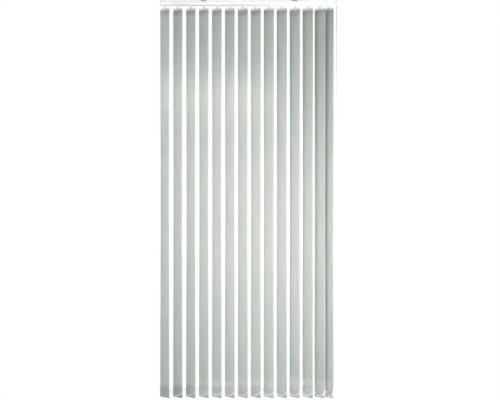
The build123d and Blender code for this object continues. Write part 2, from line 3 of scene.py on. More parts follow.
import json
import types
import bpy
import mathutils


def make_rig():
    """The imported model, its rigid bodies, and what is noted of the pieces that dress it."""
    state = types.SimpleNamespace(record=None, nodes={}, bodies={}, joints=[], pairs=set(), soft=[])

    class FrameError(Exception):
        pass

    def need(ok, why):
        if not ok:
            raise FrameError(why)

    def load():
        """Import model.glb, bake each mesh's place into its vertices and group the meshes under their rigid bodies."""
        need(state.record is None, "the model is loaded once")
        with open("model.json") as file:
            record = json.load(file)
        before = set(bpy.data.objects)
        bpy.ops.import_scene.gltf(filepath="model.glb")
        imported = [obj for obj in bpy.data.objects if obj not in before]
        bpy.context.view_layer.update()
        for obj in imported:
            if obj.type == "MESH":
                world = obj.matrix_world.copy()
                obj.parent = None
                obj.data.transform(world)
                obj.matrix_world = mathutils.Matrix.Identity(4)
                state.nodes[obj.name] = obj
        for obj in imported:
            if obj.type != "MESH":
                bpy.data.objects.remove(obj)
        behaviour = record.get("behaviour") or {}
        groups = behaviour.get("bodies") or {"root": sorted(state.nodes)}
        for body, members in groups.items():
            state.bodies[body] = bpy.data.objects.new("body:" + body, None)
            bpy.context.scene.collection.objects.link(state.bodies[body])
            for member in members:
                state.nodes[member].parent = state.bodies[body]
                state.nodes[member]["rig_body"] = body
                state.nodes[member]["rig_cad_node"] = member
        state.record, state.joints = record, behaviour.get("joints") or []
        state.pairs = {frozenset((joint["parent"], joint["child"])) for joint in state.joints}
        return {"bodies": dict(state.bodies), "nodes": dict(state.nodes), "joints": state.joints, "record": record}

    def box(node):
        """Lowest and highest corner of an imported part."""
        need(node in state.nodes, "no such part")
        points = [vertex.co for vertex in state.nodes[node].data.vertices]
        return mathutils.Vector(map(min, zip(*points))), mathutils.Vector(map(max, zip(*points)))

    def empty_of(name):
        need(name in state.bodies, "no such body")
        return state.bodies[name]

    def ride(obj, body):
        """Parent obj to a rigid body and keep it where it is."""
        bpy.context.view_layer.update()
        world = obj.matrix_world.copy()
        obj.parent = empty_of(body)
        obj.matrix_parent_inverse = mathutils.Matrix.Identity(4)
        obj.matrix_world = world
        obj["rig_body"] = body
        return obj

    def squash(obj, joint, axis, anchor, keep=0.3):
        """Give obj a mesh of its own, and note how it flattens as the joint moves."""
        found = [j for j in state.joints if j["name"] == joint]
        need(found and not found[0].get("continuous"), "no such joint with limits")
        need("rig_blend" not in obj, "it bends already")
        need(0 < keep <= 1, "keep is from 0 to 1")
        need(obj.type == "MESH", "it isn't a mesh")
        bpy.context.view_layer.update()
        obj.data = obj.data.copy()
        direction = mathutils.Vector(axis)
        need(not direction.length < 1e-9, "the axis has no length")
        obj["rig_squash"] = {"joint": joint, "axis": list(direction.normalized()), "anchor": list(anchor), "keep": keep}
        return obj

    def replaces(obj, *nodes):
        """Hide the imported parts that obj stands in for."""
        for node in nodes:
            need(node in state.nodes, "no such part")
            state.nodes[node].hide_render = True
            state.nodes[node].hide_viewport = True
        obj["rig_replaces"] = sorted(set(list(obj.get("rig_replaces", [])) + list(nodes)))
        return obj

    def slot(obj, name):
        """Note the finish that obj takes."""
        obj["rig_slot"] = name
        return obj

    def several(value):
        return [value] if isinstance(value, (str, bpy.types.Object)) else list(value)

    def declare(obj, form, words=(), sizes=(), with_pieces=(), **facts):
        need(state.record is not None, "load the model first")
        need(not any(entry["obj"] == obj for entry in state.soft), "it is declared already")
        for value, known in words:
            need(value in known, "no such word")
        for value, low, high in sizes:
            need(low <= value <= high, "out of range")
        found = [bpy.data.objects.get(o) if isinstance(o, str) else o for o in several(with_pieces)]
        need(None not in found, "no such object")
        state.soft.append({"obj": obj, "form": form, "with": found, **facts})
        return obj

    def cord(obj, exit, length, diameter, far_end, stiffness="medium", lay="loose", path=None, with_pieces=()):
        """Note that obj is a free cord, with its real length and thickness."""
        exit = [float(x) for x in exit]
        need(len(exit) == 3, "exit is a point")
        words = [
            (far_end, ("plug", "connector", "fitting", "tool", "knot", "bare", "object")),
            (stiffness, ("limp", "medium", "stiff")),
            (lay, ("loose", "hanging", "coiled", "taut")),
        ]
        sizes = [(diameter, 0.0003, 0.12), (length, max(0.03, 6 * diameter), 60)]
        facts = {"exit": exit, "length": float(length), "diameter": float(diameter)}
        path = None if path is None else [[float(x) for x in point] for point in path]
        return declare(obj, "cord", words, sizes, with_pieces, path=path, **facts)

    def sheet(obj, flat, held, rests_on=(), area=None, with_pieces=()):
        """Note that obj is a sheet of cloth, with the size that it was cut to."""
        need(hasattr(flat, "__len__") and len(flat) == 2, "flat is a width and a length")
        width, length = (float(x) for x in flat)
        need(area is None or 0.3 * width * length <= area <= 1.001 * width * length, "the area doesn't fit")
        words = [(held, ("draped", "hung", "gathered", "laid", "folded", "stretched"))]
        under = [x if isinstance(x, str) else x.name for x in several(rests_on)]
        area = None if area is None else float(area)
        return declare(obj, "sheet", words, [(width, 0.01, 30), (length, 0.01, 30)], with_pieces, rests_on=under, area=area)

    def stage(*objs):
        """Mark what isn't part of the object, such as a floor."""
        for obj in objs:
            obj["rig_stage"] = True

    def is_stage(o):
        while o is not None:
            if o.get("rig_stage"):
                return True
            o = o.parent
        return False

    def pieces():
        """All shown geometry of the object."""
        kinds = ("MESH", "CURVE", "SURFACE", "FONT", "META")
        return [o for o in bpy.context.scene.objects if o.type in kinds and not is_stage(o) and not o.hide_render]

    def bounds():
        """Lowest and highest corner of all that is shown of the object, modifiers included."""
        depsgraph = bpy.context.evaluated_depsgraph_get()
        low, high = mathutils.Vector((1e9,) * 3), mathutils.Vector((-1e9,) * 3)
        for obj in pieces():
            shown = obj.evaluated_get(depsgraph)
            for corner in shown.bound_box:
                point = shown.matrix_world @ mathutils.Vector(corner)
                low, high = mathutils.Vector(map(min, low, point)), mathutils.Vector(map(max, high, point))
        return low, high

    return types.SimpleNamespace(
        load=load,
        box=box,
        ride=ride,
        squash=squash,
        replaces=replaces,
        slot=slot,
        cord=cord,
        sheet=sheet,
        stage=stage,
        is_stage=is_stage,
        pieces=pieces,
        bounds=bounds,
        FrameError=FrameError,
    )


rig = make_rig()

bl_info = {
    "name": "Vertical Blind",
    "version": (1, 0, 0),
    "blender": (4, 5, 0),
    "location": "3D View > Sidebar > Blind",
    "description": "Builds the cloth, chains, cords and finishes of a vertical blind",
    "category": "Add Mesh",
}

import json
import math

import bpy
from bpy.props import FloatProperty, PointerProperty, StringProperty
from mathutils import Quaternion, Vector

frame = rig.load()
CAD_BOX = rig.bounds()
JOINTS = {joint["name"]: joint for joint in frame["joints"]}
LAST_VANE = 14            # the vane next to the controls, which stays when the others gather
VANE_NUMBERS = range(1, LAST_VANE + 1)
LOOP_DETAIL = 24          # points read from a hanging loop for each of its control points
MM = 0.001
TAU = 2 * math.pi


# ---------------------------------------------------------------- places, read from the frame
def stem_x(number):
    """Where vane `number` hangs along the rail."""
    name = "tilt" if number == LAST_VANE else f"tilt_{number:02d}"
    return JOINTS[name]["pos_m"][0]


def fabric_span(number):
    """Foot and top of a vane's cloth."""
    low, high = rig.box(f"vane_fabric_{number:02d}")
    return low[2], high[2]


def ring_place(number, end):
    """Middle of the chain ring at the front (end 1) or rear (end -1) of a vane."""
    joint = JOINTS["front_chain_swing" if end > 0 else "rear_chain_swing"]
    x, y, z = joint["pos_m"]
    return Vector((x - stem_x(LAST_VANE) + stem_x(number), y, z))


# ---------------------------------------------------------------- settings
class BlindClothSettings(bpy.types.PropertyGroup):
    """Cloth of the vanes."""

    width: FloatProperty(name="Vane width", description="Width of a vane", default=0.089,
                         unit="LENGTH", subtype="DISTANCE")
    thickness: FloatProperty(name="Thickness", description="Thickness of the stiffened cloth",
                             default=0.00045, precision=5, unit="LENGTH", subtype="DISTANCE")
    rest_tilt: FloatProperty(name="Tilt", description="Angle between a vane and the rail",
                             default=math.radians(46), subtype="ANGLE")
    twist: FloatProperty(name="Twist", description="How far a vane turns on at mid height",
                         default=math.radians(4.5), subtype="ANGLE")
    bow: FloatProperty(name="Bow", description="Depth of the curve across a vane at mid height",
                       default=0.0016, precision=4, unit="LENGTH", subtype="DISTANCE")
    colour: StringProperty(name="Thread colour", description="sRGB hex of the lit threads",
                           default="C0C4BF")
    # painted shade: the thread colour as it looks in the shade between the threads, also the darker end of the random
    # slub and mottle tone
    shade: StringProperty(name="Ground colour", description="sRGB hex between the threads",
                          default="A9B3AC")


class BlindTrimSettings(bpy.types.PropertyGroup):
    """Chains and cord."""

    bottom_bead: FloatProperty(name="Bottom bead", description="Diameter of a bottom chain's beads",
                               default=0.0044, precision=4, unit="LENGTH", subtype="DISTANCE")
    bottom_step: FloatProperty(name="Bottom step", description="Spacing of a bottom chain's beads",
                               default=0.0056, precision=4, unit="LENGTH", subtype="DISTANCE")
    tilt_bead: FloatProperty(name="Tilt bead", description="Diameter of the tilt chain's beads",
                             default=0.0044, precision=4, unit="LENGTH", subtype="DISTANCE")
    tilt_step: FloatProperty(name="Tilt step", description="Spacing of the tilt chain's beads",
                             default=0.006, precision=4, unit="LENGTH", subtype="DISTANCE")
    cord: FloatProperty(name="Cord", description="Diameter of the draw cord", default=0.0022,
                        precision=4, unit="LENGTH", subtype="DISTANCE")
    colour: StringProperty(name="Chain colour", description="sRGB hex of chains and cord",
                           default="F8F9F6")


class BlindStageSettings(bpy.types.PropertyGroup):
    """Camera and lights."""

    distance: FloatProperty(name="Distance", description="From the blind to the camera",
                            default=6.75, unit="LENGTH", subtype="DISTANCE")
    view_width: FloatProperty(name="View width", description="Width seen at the blind",
                              default=3.1525, unit="LENGTH", subtype="DISTANCE")
    eye_height: FloatProperty(name="Eye height", description="Camera height in the row frame",
                              default=-1.0844, unit="LENGTH", subtype="DISTANCE")
    key_power: FloatProperty(name="Key light", description="Power of the near soft light",
                             default=21.8, unit="POWER")
    side_power: FloatProperty(name="Side light", description="Power of the soft light on the right",
                              default=64.0, unit="POWER")
    back_power: FloatProperty(name="Back light", description="Power of the light behind the cloth",
                              default=40.0, unit="POWER")
    rail_power: FloatProperty(name="Rail light", description="Power of the strip light on the rail",
                              default=0.018, unit="POWER")
    upper_power: FloatProperty(name="Upper light", description="Power of the light on the upper cloth",
                               default=0.22, unit="POWER")
    foot_power: FloatProperty(name="Foot light", description="Power of the low light on the feet",
                              default=0.15, unit="POWER")
    ceiling: FloatProperty(name="Ceiling", description="Brightness of the surroundings above",
                           default=0.83)
    wall: FloatProperty(name="Wall", description="Brightness of the surroundings on the left",
                        default=0.782)
    backdrop: FloatProperty(name="Backdrop", description="Brightness of the backdrop", default=1.0)


# ---------------------------------------------------------------- materials
def linear(hex_colour):
    """An sRGB hex value as linear RGBA."""
    parts = [int(hex_colour[i:i + 2], 16) / 255 for i in (0, 2, 4)]
    return [*(p / 12.92 if p <= 0.04045 else ((p + 0.055) / 1.055) ** 2.4 for p in parts), 1.0]


def node(tree, kind, settings=None, inputs=None, links=None):
    """Add a node, set its properties and its sockets, and link (socket: (node, output))."""
    made = tree.nodes.new(kind)
    for key, value in (settings or {}).items():
        setattr(made, key, value)
    for key, value in (inputs or {}).items():
        made.inputs[key].default_value = value
    for key, (source, output) in (links or {}).items():
        tree.links.new(source.outputs[output], made.inputs[key])
    return made


def new_material(name):
    """An empty node material with its Principled shader and output joined."""
    material = bpy.data.materials.new(name)
    material.use_nodes = True
    tree = material.node_tree
    tree.nodes.clear()
    output = tree.nodes.new("ShaderNodeOutputMaterial")
    shader = tree.nodes.new("ShaderNodeBsdfPrincipled")
    tree.links.new(shader.outputs["BSDF"], output.inputs["Surface"])
    return material, tree, shader


def two_colours(tree, shader, factor, output, low, high):
    """Mix two hex colours by a texture into the base colour."""
    mix = node(tree, "ShaderNodeMix", {"data_type": "RGBA"}, {6: linear(low), 7: linear(high)},
               {0: (factor, output)})
    tree.links.new(mix.outputs[2], shader.inputs["Base Color"])


def bands(spacing):
    """The Wave texture scale whose bands lie this far apart, in metres."""
    return TAU / 20 / spacing


def woven_polyester(cloth):
    """Polyester weave stiffened with resin: matt, soft threads with slubs, and a faint sheen."""
    material, tree, shader = new_material("woven_polyester_stiffened")
    uv = node(tree, "ShaderNodeUVMap", {"uv_map": "cloth"})
    # real threads are 0.35 mm apart, too fine to show, so they are drawn 1 mm apart; painted shade darkens the colour
    # between them
    weft = node(tree, "ShaderNodeTexWave", {"bands_direction": "Y"},
                {"Scale": bands(1.0 * MM), "Distortion": 1.2, "Detail": 2.0, "Detail Scale": 2.0},
                {"Vector": (uv, "UV")})
    warp = node(tree, "ShaderNodeTexWave", {"bands_direction": "X"},
                {"Scale": bands(1.0 * MM), "Distortion": 0.8, "Detail": 1.0},
                {"Vector": (uv, "UV")})
    weave = node(tree, "ShaderNodeMath", {"operation": "MULTIPLY"},
                 links={0: (weft, "Fac"), 1: (warp, "Fac")})
    # slubs: thicker stretches of thread, some 5 mm wide and 250 mm long, down the vane
    squeeze = node(tree, "ShaderNodeMapping", inputs={"Scale": (1.0, 0.02, 1.0)},
                   links={"Vector": (uv, "UV")})
    slub = node(tree, "ShaderNodeTexNoise",
                inputs={"Scale": 1 / (5 * MM), "Detail": 3.0, "Roughness": 0.6},
                links={"Vector": (squeeze, "Vector")})
    # mottle: broad, weak clouds where the resin took unevenly
    mottle = node(tree, "ShaderNodeTexNoise", inputs={"Scale": 1 / (90 * MM), "Detail": 2.0},
                  links={"Vector": (uv, "UV")})
    blend = node(tree, "ShaderNodeMath", {"operation": "MULTIPLY_ADD"}, {1: 0.35},
                 {0: (weave, "Value"), 2: (slub, "Fac")})
    vary = node(tree, "ShaderNodeMath", {"operation": "MULTIPLY_ADD"}, {1: 0.12},
                {0: (mottle, "Fac"), 2: (blend, "Value")})
    ramp = node(tree, "ShaderNodeMapRange", inputs={"From Min": 0.38, "From Max": 0.85},
                links={"Value": (vary, "Value")})
    # a shaded and a lit copy of the thread colour: the weave puts painted shade between the threads, while slubs and
    # mottle vary the tone at random
    two_colours(tree, shader, ramp, "Result", cloth.shade, cloth.colour)
    relief = node(tree, "ShaderNodeMath", {"operation": "MULTIPLY_ADD"}, {1: 0.6},
                  {0: (weave, "Value"), 2: (slub, "Fac")})
    bump = node(tree, "ShaderNodeBump", inputs={"Strength": 0.35, "Distance": 0.25 * MM},
                links={"Height": (relief, "Value")})
    tree.links.new(bump.outputs["Normal"], shader.inputs["Normal"])
    shader.inputs["Roughness"].default_value = 0.85
    shader.inputs["Specular IOR Level"].default_value = 0.35
    shader.inputs["Sheen Weight"].default_value = 0.15
    shader.inputs["Sheen Roughness"].default_value = 0.4
    shader.inputs["Subsurface Weight"].default_value = 1.0
    shader.inputs["Subsurface Radius"].default_value = (1.0, 1.0, 1.0)
    shader.inputs["Subsurface Scale"].default_value = 1.5 * MM
    return material


def grained_plastic(name, colour, shade, roughness, grain, depth, subsurface=0.0):
    """Moulded plastic: even colour with faint flow clouds, and the fine grain of its mould."""
    material, tree, shader = new_material(name)
    place = node(tree, "ShaderNodeTexCoord")
    cloud = node(tree, "ShaderNodeTexNoise", inputs={"Scale": 1 / (35 * MM), "Detail": 3.0},
                 links={"Vector": (place, "Object")})
    two_colours(tree, shader, cloud, "Fac", shade, colour)
    grit = node(tree, "ShaderNodeTexNoise", inputs={"Scale": 1 / (grain * MM), "Detail": 2.0},
                links={"Vector": (place, "Object")})
    bump = node(tree, "ShaderNodeBump", inputs={"Strength": 0.25, "Distance": depth * MM},
                links={"Height": (grit, "Fac")})
    rough = node(tree, "ShaderNodeMapRange",
                 inputs={"To Min": roughness - 0.05, "To Max": roughness + 0.06},
                 links={"Value": (grit, "Fac")})
    tree.links.new(rough.outputs["Result"], shader.inputs["Roughness"])
    tree.links.new(bump.outputs["Normal"], shader.inputs["Normal"])
    shader.inputs["IOR"].default_value = 1.48
    if subsurface:
        # light spreads some 2 mm in
        shader.inputs["Subsurface Weight"].default_value = subsurface
        shader.inputs["Subsurface Radius"].default_value = (0.004, 0.004, 0.004)
        shader.inputs["Subsurface Scale"].default_value = 0.5
    return material


def powder_coat():
    """Powder-coated aluminium: white, satin, with the slight orange peel of baked powder."""
    return grained_plastic("powder_coated_aluminium", "F8F8F5", "F2F3EF", 0.36, 1.1, 0.05)


def abs_moulded():
    """ABS: white, satin, finely grained, a little duller than the rail."""
    return grained_plastic("abs_moulded", "F4F4F0", "ECEDE8", 0.42, 0.5, 0.04)


def acetal_moulded():
    """Acetal: creamy white and waxy, which lets a little light into its edges."""
    return grained_plastic("acetal_moulded", "EEF0E8", "E4E7DD", 0.34, 0.8, 0.03, 0.15)


def polypropylene_moulded():
    """Polypropylene of the hangers: pale, faintly green and waxy, with soft edges to the light."""
    return grained_plastic("polypropylene_moulded", "F0F7EC", "E3EEE2", 0.38, 0.7, 0.03, 0.25)


def bead_plastic(trim):
    """Polyester bead chain: glossy white beads moulded round a thread."""
    return grained_plastic("polyester_beads", trim.colour, "E8EBE7", 0.22, 1.5, 0.02, 0.1)


def braided_polyester(trim):
    """Braided polyester cord: fine crossing strands, soft and matt, with painted shade between them."""
    material, tree, shader = new_material("polyester_braided")
    place = node(tree, "ShaderNodeTexCoord")
    strands = []
    for lean in (1, -1):
        turned = node(tree, "ShaderNodeMapping", inputs={"Rotation": (0.0, lean * 0.7, 0.0)},
                      links={"Vector": (place, "Object")})
        strands.append(node(tree, "ShaderNodeTexWave", {"bands_direction": "Z"},
                            {"Scale": bands(0.9 * MM), "Distortion": 0.4},
                            {"Vector": (turned, "Vector")}))
    braid = node(tree, "ShaderNodeMath", {"operation": "MAXIMUM"},
                 links={0: (strands[0], "Fac"), 1: (strands[1], "Fac")})
    # painted shade: D9DCD8 is the cord's white darkened where the strands part
    two_colours(tree, shader, braid, "Value", "D9DCD8", trim.colour)
    bump = node(tree, "ShaderNodeBump", inputs={"Strength": 0.5, "Distance": 0.15 * MM},
                links={"Height": (braid, "Value")})
    tree.links.new(bump.outputs["Normal"], shader.inputs["Normal"])
    shader.inputs["Roughness"].default_value = 0.75
    shader.inputs["Sheen Weight"].default_value = 0.2
    return material


def drawn_metal(name, colour, shade, roughness, direction, line):
    """Bare metal with the fine lines that its die or rollers drew along it."""
    material, tree, shader = new_material(name)
    place = node(tree, "ShaderNodeTexCoord")
    stretch = node(tree, "ShaderNodeMapping", inputs={"Scale": direction},
                   links={"Vector": (place, "Object")})
    lines = node(tree, "ShaderNodeTexNoise", inputs={"Scale": 1 / (line * MM), "Detail": 3.0},
                 links={"Vector": (stretch, "Vector")})
    two_colours(tree, shader, lines, "Fac", shade, colour)
    rough = node(tree, "ShaderNodeMapRange",
                 inputs={"To Min": roughness - 0.08, "To Max": roughness + 0.12},
                 links={"Value": (lines, "Fac")})
    bump = node(tree, "ShaderNodeBump", inputs={"Strength": 0.2, "Distance": 0.02 * MM},
                links={"Height": (lines, "Fac")})
    tree.links.new(rough.outputs["Result"], shader.inputs["Roughness"])
    tree.links.new(bump.outputs["Normal"], shader.inputs["Normal"])
    shader.inputs["Metallic"].default_value = 1.0
    return material


def finish_node(name, material):
    """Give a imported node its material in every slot."""
    data = frame["nodes"][name].data
    if not data.materials:
        data.materials.append(material)
    for index in range(len(data.materials)):
        data.materials[index] = material


# ---------------------------------------------------------------- mesh helpers
def new_piece(name, points, faces, material):
    """A smooth-shaded mesh object in the row frame."""
    mesh = bpy.data.meshes.new(name)
    mesh.from_pydata(points, [], faces)
    mesh.materials.append(material)
    mesh.polygons.foreach_set("use_smooth", [True] * len(mesh.polygons))
    mesh.update()
    piece = bpy.data.objects.new(name, mesh)
    bpy.context.collection.objects.link(piece)
    return piece


def smooth_curve(name, route, detail):
    """A curve of one open NURBS spline along a route."""
    curve = bpy.data.curves.new(name, "CURVE")
    curve.dimensions = "3D"
    curve.resolution_u = detail
    spline = curve.splines.new("NURBS")
    spline.points.add(len(route) - 1)
    for slot, point in zip(spline.points, route):
        slot.co = (*point, 1.0)
    spline.order_u = 3
    spline.use_endpoint_u = True
    return curve


def spline_points(route, detail=12):
    """Points along the smooth line of a route, read from its NURBS spline."""
    curve = smooth_curve("route", route, detail)
    holder = bpy.data.objects.new("route", curve)
    mesh = bpy.data.meshes.new_from_object(holder)
    line = [vertex.co.copy() for vertex in mesh.vertices]
    bpy.data.objects.remove(holder)
    bpy.data.meshes.remove(mesh)
    bpy.data.curves.remove(curve)
    return line


def even_points(line, step):
    """Points and directions along a line, as near `step` apart as fits its length."""
    lengths = [0.0]
    for before, after in zip(line, line[1:]):
        lengths.append(lengths[-1] + (after - before).length)
    count = max(1, round(lengths[-1] / step))
    found, k = [], 0
    for i in range(count + 1):
        target = lengths[-1] * i / count
        while k < len(line) - 2 and lengths[k + 1] < target:
            k += 1
        run = line[k + 1] - line[k]
        share = (target - lengths[k]) / max(run.length, 1e-9)
        found.append((line[k] + run * share, run.normalized()))
    return found


def line_length(line):
    """Length of a run of points."""
    return sum((after - before).length for before, after in zip(line, line[1:]))


class Shape:
    """Points and faces gathered for one mesh."""

    def __init__(self):
        self.points = []
        self.faces = []

    def turned(self, centre, along, stations, sides):
        """A turned body on an axis: stations are (distance along, radius), closed at both ends."""
        side = along.orthogonal().normalized()
        other = along.cross(side)
        first = len(self.points)
        for distance, radius in stations:
            for k in range(sides):
                turn = TAU * k / sides
                self.points.append(centre + along * distance
                                   + (side * math.cos(turn) + other * math.sin(turn)) * radius)
        for ring in range(len(stations) - 1):
            for k in range(sides):
                a = first + ring * sides + k
                b = first + ring * sides + (k + 1) % sides
                self.faces.append((a, b, b + sides, a + sides))
        last = first + (len(stations) - 1) * sides
        self.faces.append(tuple(first + k for k in reversed(range(sides))))
        self.faces.append(tuple(last + k for k in range(sides)))

    def bead(self, centre, along, radius):
        """A round bead, flat where its thread enters and leaves it."""
        sides = 10
        angles = [math.radians(a) for a in (-72, -45, -16, 16, 45, 72)]
        stations = [(radius * math.sin(a), radius * math.cos(a)) for a in angles]
        self.turned(centre, along, stations, sides)


def chain_of_beads(shape, line, step, bead_radius, link_radius):
    """Beads along a line with a short link between each two."""
    inside = 0.85             # share of the bead's radius at which a link starts, out of sight
    sides = 6
    stops = even_points(line, step)
    for point, along in stops:
        shape.bead(point, along, bead_radius)
    for (start, _), (stop, _) in zip(stops, stops[1:]):
        run = stop - start
        along = run.normalized()
        from_bead = bead_radius * inside
        stations = [(from_bead, link_radius), (run.length - from_bead, link_radius)]
        shape.turned(start, along, stations, sides)


# ---------------------------------------------------------------- cloth of a vane
def vane_ribbons(foot, top, thickness):
    """Centrelines of a vane's cloth in section, as (out of the face, height) from the top down."""
    plate = 1.6 * MM          # thickness of the hanger plate
    weight = 2.2 * MM         # thickness of the bottom weight
    clear = 0.12 * MM         # between the cloth and what its pockets hold
    weld = 20 * MM            # depth of the top pocket
    pocket = 50 * MM          # height of the bottom pocket
    lap = 9 * MM              # height of a weld, where two layers lie on each other
    rows = 40                 # of faces down the straight stretch
    turns = 6                 # of faces round the bottom fold
    upper = plate / 2 + clear + thickness / 2
    lower = weight / 2 + clear + thickness / 2
    pocket_foot = top - weld
    pocket_top = foot + pocket
    fold = foot + lower
    start = pocket_foot - 60 * MM
    stop = pocket_top + 80 * MM
    # past the hanger plate, and in to the stem's line
    long_run = [(-upper, top), (-upper, pocket_foot + 4 * MM), (-upper * 0.5, pocket_foot),
                (0.0, pocket_foot - 6 * MM), (0.0, start)]
    # the straight stretch
    for k in range(1, rows):
        long_run.append((0.0, start + (stop - start) * k / rows))
    # out past the bottom weight, round under it, and up its other face to the weld
    long_run += [(0.0, stop), (0.0, pocket_top + 16 * MM), (-lower * 0.5, pocket_top + 6 * MM),
                 (-lower, pocket_top), (-lower, fold + 12 * MM)]
    for k in range(turns + 1):
        turn = math.pi * k / turns
        long_run.append((-lower * math.cos(turn), fold - lower * math.sin(turn) * 0.9))
    long_run += [(lower, fold + 12 * MM), (lower, pocket_top), (lower * 0.6, pocket_top + 6 * MM),
                 (thickness, pocket_top + 14 * MM), (thickness, pocket_top + 14 * MM + lap)]
    # the flap on the hanger plate's other face, down to its own weld
    flap = [(upper, top), (upper, pocket_foot + 4 * MM), (upper * 0.6, pocket_foot),
            (thickness, pocket_foot - 6 * MM), (thickness, pocket_foot - 6 * MM - lap)]
    return [long_run, flap]


def add_ribbon(shape, uvs, run, width, thickness, columns, bend, seed):
    """Sweep a strip's section across the vane as a closed thin solid."""
    normals = []
    for k in range(len(run)):
        before, after = run[max(k - 1, 0)], run[min(k + 1, len(run) - 1)]
        du, dz = after[0] - before[0], after[1] - before[1]
        size = math.hypot(du, dz)
        normals.append((dz / size, -du / size))
    lengths = [0.0]
    for before, after in zip(run, run[1:]):
        lengths.append(lengths[-1] + math.hypot(after[0] - before[0], after[1] - before[1]))
    # each vane is cut from its own stretch of the roll, so its weave starts at its own place
    roll_place = (0.5 * seed, 3.1 * seed)
    first = len(shape.points)
    rows = len(run)
    for side in (1, -1):
        for k, (u, z) in enumerate(run):
            nu, nz = normals[k]
            for c in range(columns + 1):
                s = width * (c / columns - 0.5)
                out = side * thickness / 2
                shape.points.append(bend(s, u + nu * out, z + nz * out))
                uvs.append((s + roll_place[0], -lengths[k] + roll_place[1]))
    layer = rows * (columns + 1)

    def at(side, k, c):
        return first + side * layer + k * (columns + 1) + c

    def face(*corners):
        shape.faces.append(tuple(at(*corner) for corner in corners))

    last = rows - 1
    for k in range(last):
        for c in range(columns):
            face((0, k, c), (0, k, c + 1), (0, k + 1, c + 1), (0, k + 1, c))
            face((1, k, c), (1, k + 1, c), (1, k + 1, c + 1), (1, k, c + 1))
        face((0, k, 0), (0, k + 1, 0), (1, k + 1, 0), (1, k, 0))
        face((0, k, columns), (1, k, columns), (1, k + 1, columns), (0, k + 1, columns))
    for c in range(columns):
        face((0, 0, c), (1, 0, c), (1, 0, c + 1), (0, 0, c + 1))
        face((0, last, c), (0, last, c + 1), (1, last, c + 1), (1, last, c))


class BLIND_OT_vane_cloth(bpy.types.Operator):
    """Hang the fourteen vanes of cloth"""

    bl_idname = "blind.vane_cloth"
    bl_label = "Vane cloth"

    def execute(self, context):
        cloth = context.scene.blind_cloth
        material = woven_polyester(cloth)
        columns = 10
        pockets = 0.11            # cloth turned over at the top and the foot, in metres
        for number in VANE_NUMBERS:
            foot, top = fabric_span(number)
            x = stem_x(number)
            # no two vanes hang quite alike
            sway = 0.5 * MM * math.sin(2.4 * number)

            def bend(s, u, z):
                share = min(max((top - z) / (top - foot), 0.0), 1.0)
                belly = math.sin(math.pi * share) ** 2
                tilt = cloth.rest_tilt + cloth.twist * belly
                out = u + cloth.bow * belly * (1 - (2 * s / cloth.width) ** 2) + sway * belly
                return Vector((x + s * math.cos(tilt) + out * math.sin(tilt),
                               -s * math.sin(tilt) + out * math.cos(tilt), z))

            shape, uvs = Shape(), []
            for run in vane_ribbons(foot, top, cloth.thickness):
                add_ribbon(shape, uvs, run, cloth.width, cloth.thickness, columns, bend, number)
            piece = new_piece(f"vane_cloth_{number:02d}", shape.points, shape.faces, material)
            layer = piece.data.uv_layers.new(name="cloth")
            for loop in piece.data.loops:
                layer.data[loop.index].uv = uvs[loop.vertex_index]
            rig.ride(piece, f"vane_{number:02d}")
            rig.replaces(piece, f"vane_fabric_{number:02d}")
            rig.slot(piece, "vane_fabric")
            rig.sheet(piece, flat=(cloth.width, top - foot + pockets), held="hung",
                     rests_on=[f"vane_fittings_{number:02d}"])
        return {"FINISHED"}


# ---------------------------------------------------------------- bottom chains
def span_route(start, stop):
    """Route of one hanging span from ring to ring."""
    per_gap = 102 * MM        # length of chain between two vanes
    bend = 1.7                # 1 would hang a span as a V, and 2 as a parabola
    reach = 2 * MM            # from a ring's middle to the first bead
    lead, lead_drop = 8 * MM, 5.8 * MM
    gap = stop.x - start.x
    sag = math.sqrt((2 * bend - 1) / 2 * gap * (per_gap - gap)) / bend
    route = [start + Vector((reach, 0, 0)), start + Vector((lead, 0, -lead_drop))]
    for share in (0.2, 0.4, 0.6, 0.8):
        route.append(start + Vector((share * gap, 0, -sag * (1 - abs(2 * share - 1) ** bend))))
    return route + [stop + Vector((-lead, 0, -lead_drop)), stop - Vector((reach, 0, 0))]


def add_ring(shape, centre):
    """The eye that turns round a vane's peg."""
    hole, outer, half, edge = 1.5 * MM, 2.6 * MM, 1.7 * MM, 0.4 * MM
    sides = 18
    profile = [(hole, -half), (outer - edge, -half), (outer, -half + edge),
               (outer, half - edge), (outer - edge, half), (hole, half)]
    first = len(shape.points)
    for k in range(sides):
        turn = TAU * k / sides
        for radius, height in profile:
            place = Vector((radius * math.cos(turn), radius * math.sin(turn), height))
            shape.points.append(centre + place)
    count = len(profile)
    for k in range(sides):
        for j in range(count):
            a = first + k * count + j
            b = first + k * count + (j + 1) % count
            c = first + (k + 1) % sides * count + (j + 1) % count
            d = first + (k + 1) % sides * count + j
            shape.faces.append((a, d, c, b))


class BLIND_OT_bottom_chains(bpy.types.Operator):
    """String the front and rear bottom chains from vane to vane"""

    bl_idname = "blind.bottom_chains"
    bl_label = "Bottom chains"

    def execute(self, context):
        trim = context.scene.blind_trim
        material = bead_plastic(trim)
        link = 0.5 * MM           # radius of the thread between two beads
        keep = 0.3                # share of the chain's width that is left when the vanes gather
        for end, name in ((1, "front_chain"), (-1, "rear_chain")):
            shape, path = Shape(), []
            for number in VANE_NUMBERS[:-1]:
                start, stop = ring_place(number, end), ring_place(number + 1, end)
                line = spline_points(span_route(start, stop))
                chain_of_beads(shape, line, trim.bottom_step, trim.bottom_bead / 2, link)
                path += [start] + line
            anchor = ring_place(LAST_VANE, end)
            path.append(anchor)
            for number in VANE_NUMBERS:
                add_ring(shape, ring_place(number, end))
            piece = new_piece(f"{name}_beads", shape.points, shape.faces, material)
            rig.ride(piece, name)
            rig.replaces(piece, name)
            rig.slot(piece, "chain_white")
            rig.cord(piece, exit=path[0], length=line_length(path), diameter=trim.bottom_bead,
                    far_end="object", stiffness="limp", lay="hanging", path=path)
            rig.squash(piece, "traverse", axis=(1, 0, 0), anchor=tuple(anchor), keep=keep)
        return {"FINISHED"}


